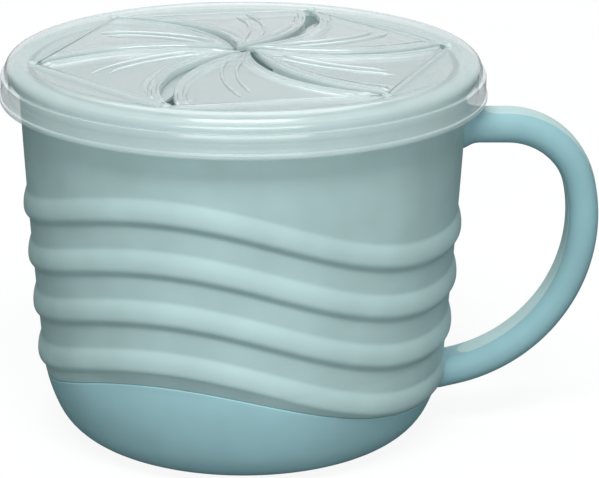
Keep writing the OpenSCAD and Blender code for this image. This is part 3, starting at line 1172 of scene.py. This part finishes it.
@dataclass
class Flap:
    """One soft flap with its raised borders, fine ribs, hinge bead and lower tongue."""

    form: LidForm
    flap_t: float = 1.0
    lead_arc_r: float = 33.6
    lead_miss: float = 1.5
    trail_arc_r: float = 41.6
    trail_miss: float = 2.1
    slot_spread: float = 2.2
    tip_r: float = 2.2
    tongue_lap: float = 1.0
    tongue_t: float = 0.8
    tongue_gap: float = 0.55
    tongue_start: float = 6.6
    tongue_end: float = 3.4
    tongue_reach: float = 44.0
    riser_reach: float = 34.0
    border_w: float = 3.0
    border_h: float = 0.42
    border_edge: float = 0.3
    border_full: float = 0.38
    border_limit: float = 0.46
    border_meet: float = 0.47
    narrow_at: float = 2.6
    vein_w: float = 0.8
    vein_gap: float = 3.2
    vein_arc_r: float = 38.0
    vein_miss: float = 2.0
    vein_start: float = 8.8
    vein_r: float = 37.0
    vein_short: float = 3.0
    vein_turn: float = 8.0
    dome_angle: float = 1.7
    camber: float = 0.25
    rows: int = 70
    row_bend: float = 0.92
    crease: float = 38.0
    walk_step: float = 0.6
    bevel: float = 0.12

    def __post_init__(self) -> None:
        """Lays out the flap's curves."""
        f = self.form
        self.lead = Curve.through(self.lead_arc_r, self.lead_miss, f.slot_r, f.half)
        self.trail = Curve.through(self.trail_arc_r, self.trail_miss, f.slot_r, self.slot_spread - f.half)
        self.under = Curve.through(self.lead_arc_r, self.lead_miss, f.slot_r, -f.half)
        self.vein = Curve.through(self.vein_arc_r, self.vein_miss, self.vein_r, -self.vein_turn)

    def crossing(self, a: Vector, b: Vector, curve: Curve, radius: float) -> float | None:
        """Finds where the line from a to b meets a circle about a curve's middle.

        Args:
            a: the line's start.
            b: its end.
            curve: the curve whose middle is used.
            radius: the circle's radius.

        Returns:
            The share of the way from a to b, or None where they don't meet.
        """
        d, o = b - a, a - curve.centre
        p, q, r = d.dot(d), 2 * d.dot(o), o.dot(o) - radius * radius
        root = q * q - 4 * p * r
        if root < 0:
            return None
        hits = [(-q + s * math.sqrt(root)) / (2 * p) for s in (-1, 1)]
        hits = [h for h in hits if -0.001 <= h <= 1.001]
        return min(hits) if hits else None

    def ridge(self) -> list[Point2]:
        """Lists a border's section: distance in from the flap's edge, and height.

        Returns:
            The section's points.
        """
        edge, far = self.border_edge, self.border_w
        return [(0.0, -edge), (edge * 0.3, -edge * 0.3 + 0.2), (edge, 0.35), (0.75, 0.36), (1.05, 0.1),
                (far - 1.15, 0.06), (far - 0.85, 0.33), (far - 0.4, 0.34), (far - 0.12, 0.08), (far, 0.0)]

    def border_share(self, a: Vector, b: Vector, curve: Curve, inner: float) -> float:
        """Finds where a border's line crosses the line from one edge of the flap to the other.

        Args:
            a: the point on the border's own edge.
            b: the point on the other edge.
            curve: the border's own edge.
            inner: how far the border's line lies in from it, below 0 toward the curve's middle.

        Returns:
            The share of the way from a to b.
        """
        share = self.crossing(a, b, curve, curve.radius + inner)
        limit = self.border_limit * abs(inner) / self.border_w
        if share is None:
            return limit
        narrow = (b - a).length < self.narrow_at * self.border_w
        return min(share, limit if narrow else self.border_meet)

    def blade(self) -> bpy.types.Object:
        """Makes the flap's plate with raised, rounded borders along both curved edges.

        Returns:
            The plate.
        """
        f = self.form
        ridge = self.ridge()
        rings = []
        for share in shares(self.rows):
            reach = f.slot_r + (self.tip_r - f.slot_r) * share ** self.row_bend
            a, b = self.trail.at(reach), self.lead.at(reach)
            if share == 0:
                a, b = a - Vector((f.hinge_gap, 0)), b - Vector((f.hinge_gap, 0))
            near = [(self.border_share(a, b, self.trail, -inner), height) for inner, height in ridge]
            far = [(1 - self.border_share(b, a, self.lead, inner), height) for inner, height in ridge]
            low, high = near[-1][0], far[-1][0]
            middle = [(low + (high - low) * v, 0.0) for v in shares(9)[1:-1]]
            fade = smooth_step(0.0, 0.03, share) * (1 - 0.6 * smooth_step(0.93, 1.0, share))
            scale = self.border_h / self.border_full * fade
            bow = self.camber * math.sin(math.pi * min(1.0, share * 1.05)) if (b - a).length > 1 else 0.0
            top = []
            for v, height in near + middle + far[::-1]:
                spot = a.lerp(b, v)
                rise = height * scale if height > 0 else height
                top.append((spot.x, spot.y, rise + bow * 4 * v * (1 - v)))
            under = [(x, y, -self.flap_t + (z if z > 0.4 else 0)) for x, y, z in top[::-1]]
            for end in (0, -1):
                under[end] = (under[end][0], under[end][1], -self.flap_t + 0.2)
            rings.append(top + under)
        return build_piece("flap_plate", loft(rings), crease=60)

    def strip(self, name: str, sides: list[Pair], low: float, high: float) -> bpy.types.Object:
        """Makes a solid strip between two lines.

        Args:
            name: the mesh's name.
            sides: the pairs of points along both sides.
            low: the strip's lower height.
            high: its upper height.

        Returns:
            The strip.
        """
        rings = []
        for a, b in sides:
            side = (b - a).normalized() * self.bevel
            foot, crest = low + self.bevel, high - self.bevel
            rows = ((a, foot), (a, crest), (a + side, high), (b - side, high), (b, crest), (b, foot),
                    (b - side, low), (a + side, low))
            rings.append([(spot.x, spot.y, z) for spot, z in rows])
        return build_piece(name, loft(rings), crease=40)

    def walk(self, end: float) -> list[float]:
        """Lists the distances from the axis that the tongue's outlines are read at, up to an end."""
        count = math.ceil((end - self.tongue_start) / self.walk_step)
        return [self.tongue_start + self.walk_step * i for i in range(count)]

    def slot_frame(self, spot: Vector) -> Vector:
        """Turns a point into the trailing slot's frame, whose x runs along the slot's ray."""
        return Matrix.Rotation(math.radians(self.form.half), 2) @ spot

    def tongue(self) -> list[bpy.types.Object]:
        """Makes the lower tongue and the riser that carries it.

        Returns:
            The tongue and the riser.
        """
        drop = self.flap_t + self.tongue_gap + self.tongue_t
        back = Matrix.Rotation(math.radians(-self.form.half), 2)
        lap = Curve(self.lead_arc_r + self.tongue_lap, self.under.away, self.under.angle)
        inner = Curve(self.trail_arc_r - self.tongue_t, self.trail.away, self.trail.angle)
        sides = []
        for reach in self.walk(self.tongue_reach):
            a, b = self.slot_frame(lap.at(reach)), self.slot_frame(self.trail.at(reach))
            if a.y > -self.tongue_end - 0.3:
                continue
            b.y = min(b.y, -self.tongue_end)
            b.y += 0.3 if b.y < -self.tongue_end - 0.01 else 0.0
            sides.append((back @ a, back @ b))
        plate = self.strip("flap_tongue", sides, -drop, -drop + self.tongue_t)
        walls = [(self.trail.at(reach), inner.at(reach)) for reach in self.walk(self.riser_reach)]
        walls = [(a, b) for a, b in walls if self.slot_frame(a).y <= -self.tongue_end]
        riser = self.strip("flap_riser", walls, -drop + 0.1, -0.25)
        return [plate, riser]

    def veins(self) -> list[bpy.types.Object]:
        """Makes the two fine ribs up the flap's middle.

        Returns:
            The ribs.
        """
        pieces = []
        for side in (-1, 1):
            shift = side * self.vein_gap / 2
            curve = Curve(self.vein.radius + shift, self.vein.away, self.vein.angle)
            length = self.vein_r - self.vein_short * (side < 0) - self.vein_start
            rings = []
            for share in shares(48):
                spot = curve.at(self.vein_start + length * share)
                outward = (spot - curve.centre).normalized()
                taper = min(1.0, 6 * share + 0.15, 10 * (1 - share) + 0.15)
                half = self.vein_w / 2 * min(1.0, taper * 1.4)
                rise = self.border_h * taper
                flank = [(half, -0.35), (half, rise * 0.25), (half * 0.7, rise * 0.75)]
                cross = [(-w, h) for w, h in flank] + [(0.0, rise)] + flank[::-1]
                lift = self.camber * 0.9
                rings.append([(spot.x + outward.x * w, spot.y + outward.y * w, h + (lift if h > 0 else 0))
                              for w, h in cross])
            pieces.append(build_piece("flap_vein", loft(rings), crease=60))
        return pieces

    def bead(self) -> bpy.types.Object:
        """Makes the round bead along the hinge line, with domed ends.

        Returns:
            The bead.
        """
        f = self.form
        length = f.slot_r * math.sin(math.radians(f.half)) - f.corner_gap
        dome = 0.6
        marks = [(-length, 0.3), (-length + 0.1, 0.7), (-length + 0.3, 0.93), (-length + dome, 1.0)]
        marks += [(-length + dome + 2 * (length - dome) * v, 1.0) for v in shares(20)[1:-1]]
        marks += [(-y, share) for y, share in marks[3::-1]]
        rings = []
        for y, share in marks:
            rings.append([(f.hinge_x + x, y, -f.hinge_r + z) for x, z in circle(f.hinge_r * share)])
        return build_piece("flap_bead", loft(rings), crease=50)

    def whole(self) -> bpy.types.Mesh:
        """Joins the flap's forms into one closed mesh.

        Returns:
            The mesh, in the flap's own frame.
        """
        plate = self.blade()
        for part in [self.bead(), *self.tongue(), *self.veins()]:
            union = plate.modifiers.new("union", "BOOLEAN")
            union.operation = "UNION"
            union.solver = "EXACT"
            union.object = part
            graph = bpy.context.evaluated_depsgraph_get()
            data = bpy.data.meshes.new_from_object(plate.evaluated_get(graph))
            plate.modifiers.clear()
            plate.data = data
            bpy.data.objects.remove(part)
        data = plate.data
        bpy.data.objects.remove(plate)
        data.shade_smooth()
        data.set_sharp_from_angle(angle=math.radians(self.crease))
        return data

    def build(self, finishes: Finishes) -> list[bpy.types.Object]:
        """Builds all flaps and stands each in for its CAD node.

        Args:
            finishes: the shared finishes.

        Returns:
            The flaps.
        """
        f = self.form
        data = self.whole()
        data.materials.clear()
        data.materials.append(finishes.flap)
        pieces = []
        settle = (Matrix.Translation((f.hinge_x * MM, 0, f.hinge_z * MM))
                  @ Matrix.Rotation(math.radians(self.dome_angle), 4, "Y")
                  @ Matrix.Translation((-f.hinge_x * MM, 0, f.hinge_r * MM)))
        for k in range(f.flap_count):
            turned = Matrix.Rotation(math.radians(f.flap_angle(k)), 4, "Z") @ settle
            shape = data.copy()
            shape.transform(turned)
            piece = bpy.data.objects.new(f"petal_{k + 1}", shape)
            bpy.context.scene.collection.objects.link(piece)
            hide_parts(f"flap_{k + 1}")
            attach(piece, f"flap_{k + 1}")
            pieces.append(piece)
        return pieces


@dataclass(frozen=True)
class SoftBox:
    """A rectangular lamp: where it stands and its size in metres, and its power in watts."""

    name: str
    place: Point3
    size: Point2
    power: float


@dataclass
class Studio:
    """The camera, the pale floor and the soft lights."""

    sensor_mm: float = 36.0
    photo_w: int = 599
    focal_px: float = 2876.8
    middle_px: Point2 = (243.4, 231.2)
    photo_middle: Point2 = (299.5, 239.0)
    distance: float = 0.640
    elevation: float = 17.55
    target_z: float = 0.045
    ambient: float = 0.18
    ambient_tint: tuple[float, float, float, float] = (0.8, 1.0, 1.0, 1.0)
    floor_colour: Colour = (250, 251, 251)
    bounce_colour: Colour = (92, 108, 111)
    floor_side: float = 3000.0
    floor_z: float = -0.05
    paper_glow: float = 0.9
    boxes: tuple[SoftBox, ...] = (
        SoftBox("front_box", (0.0, -1.6, 0.27), (1.8, 0.25), 11.0),
        SoftBox("key_box", (0.0, -0.75, 1.15), (0.9, 0.4), 12.2),
        SoftBox("top_box", (0.0, 0.6, 1.15), (0.8, 0.8), 6.4),
        SoftBox("back_box", (0.0, 1.4, 0.24), (2.0, 0.42), 0.9),
    )

    def camera(self) -> bpy.types.Object:
        """Makes the camera at the photograph's angle.

        Returns:
            The camera.
        """
        data = bpy.data.cameras.new("photo_camera")
        data.sensor_width = self.sensor_mm
        data.lens = self.focal_px / self.photo_w * data.sensor_width
        data.shift_x = (self.photo_middle[0] - self.middle_px[0]) / self.photo_w
        data.shift_y = -(self.photo_middle[1] - self.middle_px[1]) / self.photo_w
        data.clip_start, data.clip_end = 0.05, 20.0
        camera = bpy.data.objects.new("photo_camera", data)
        rise = math.radians(self.elevation)
        camera.location = (0, -self.distance * math.cos(rise), self.target_z + self.distance * math.sin(rise))
        camera.rotation_euler = (math.pi / 2 - rise, 0, 0)
        bpy.context.scene.collection.objects.link(camera)
        bpy.context.scene.camera = camera
        return camera

    def floor(self) -> bpy.types.Object:
        """Makes the pale floor, which the camera sees white except for the soft shadow.

        Returns:
            The floor.
        """
        corners = ((-1, -1), (1, -1), (1, 1), (-1, 1))
        points = [(x * self.floor_side, y * self.floor_side, self.floor_z) for x, y in corners]
        floor = build_piece("floor", (points, [(0, 1, 2, 3)]))
        shader = Shader("floor_paper")
        paper = shader.add("ShaderNodeBsdfDiffuse", Roughness=0.8)
        cloud = shader.between(shader.noise(40.0, 2.0), 0.0, 1.0)
        tint = shader.tint(cloud, shade(self.floor_colour, 0.992), self.floor_colour)
        shader.links.new(tint, paper.inputs["Color"])
        glow = shader.add("ShaderNodeEmission", Strength=1.0)
        white = shader.add("ShaderNodeMixShader", Fac=self.paper_glow)
        shader.links.new(paper.outputs[0], white.inputs[1])
        shader.links.new(glow.outputs[0], white.inputs[2])
        dim = shader.add("ShaderNodeBsdfDiffuse", Color=linear(self.bounce_colour))
        shader.layer(shader.rays("Camera", "Transmission"), dim.outputs[0], white.outputs[0])
        floor.data.materials.append(shader.material)
        return floor

    def world(self) -> None:
        """Sets a white backdrop and an even ambient light."""
        world = bpy.data.worlds.new("studio")
        bpy.context.scene.world = world
        world.use_nodes = True
        board = NodeBoard(world.node_tree, "ShaderNodeOutputWorld")
        white = board.add("ShaderNodeBackground", Strength=1.0)
        grey = board.add("ShaderNodeBackground", Strength=self.ambient, Color=self.ambient_tint)
        board.layer(board.rays("Camera", "Transmission", "Glossy"), grey.outputs[0], white.outputs[0])

    def lamp(self, box: SoftBox) -> bpy.types.Object:
        """Adds one soft box that faces the cup.

        Args:
            box: the lamp's place, size and power.

        Returns:
            The lamp.
        """
        data = bpy.data.lights.new(box.name, "AREA")
        data.shape = "RECTANGLE"
        data.size, data.size_y = box.size
        data.energy = box.power
        lamp = bpy.data.objects.new(box.name, data)
        lamp.location = box.place
        way = Vector((0.0, 0.0, self.target_z)) - Vector(box.place)
        lamp.rotation_euler = way.to_track_quat("-Z", "Y").to_euler()
        lamp.visible_camera = False
        bpy.context.scene.collection.objects.link(lamp)
        return lamp

    def build(self) -> None:
        """Sets up the camera, the floor, the backdrop and the lights."""
        self.camera()
        self.floor()
        self.world()
        for box in self.boxes:
            self.lamp(box)
        bpy.context.scene.view_settings.view_transform = "Standard"


def main() -> None:
    """Builds the pieces in order and reports each."""
    logging.basicConfig(level=logging.INFO, format="%(name)s: %(message)s")
    Studio().build()
    finishes = Finishes(
        # crest=0.02 paints a highlight on the rib crests and shade along the rib feet
        light=SatinPlastic("light_satin", (184, 209, 209), 0.42, crest=0.02).material(),
        # the grip is the dark plastic painted darker as shade
        grip=SatinPlastic("grip_satin_painted_shade", (148, 187, 194), 0.44).material(),
        dark=SatinPlastic("dark_satin", (161, 201, 207), 0.44).material(),
        # the lid and flap colours turn dark at grazing edges as painted shade
        lid=ClearPlastic("milky_clear", (226, 243, 243), (88, 126, 130), 0.15, 0.5).material(),
        flap=ClearPlastic("milky_clear_flap", (232, 245, 245), (84, 120, 124), 0.1, 0.5, 0.06).material(),
    )
    cup_form = CupForm()
    cup = Cup(cup_form)
    handle = Handle(cup_form)
    lid_form = LidForm(cup_form)
    pieces = [cup.build_shell(finishes), cup.build_base(finishes), handle.build_grip(finishes),
              handle.build_core(finishes), LidRim(lid_form).build(finishes), *Flap(lid_form).build(finishes)]
    for piece in pieces:
        log.info("%s: %d faces", piece.name, len(piece.data.polygons))


if __name__ == "__main__":
    main()
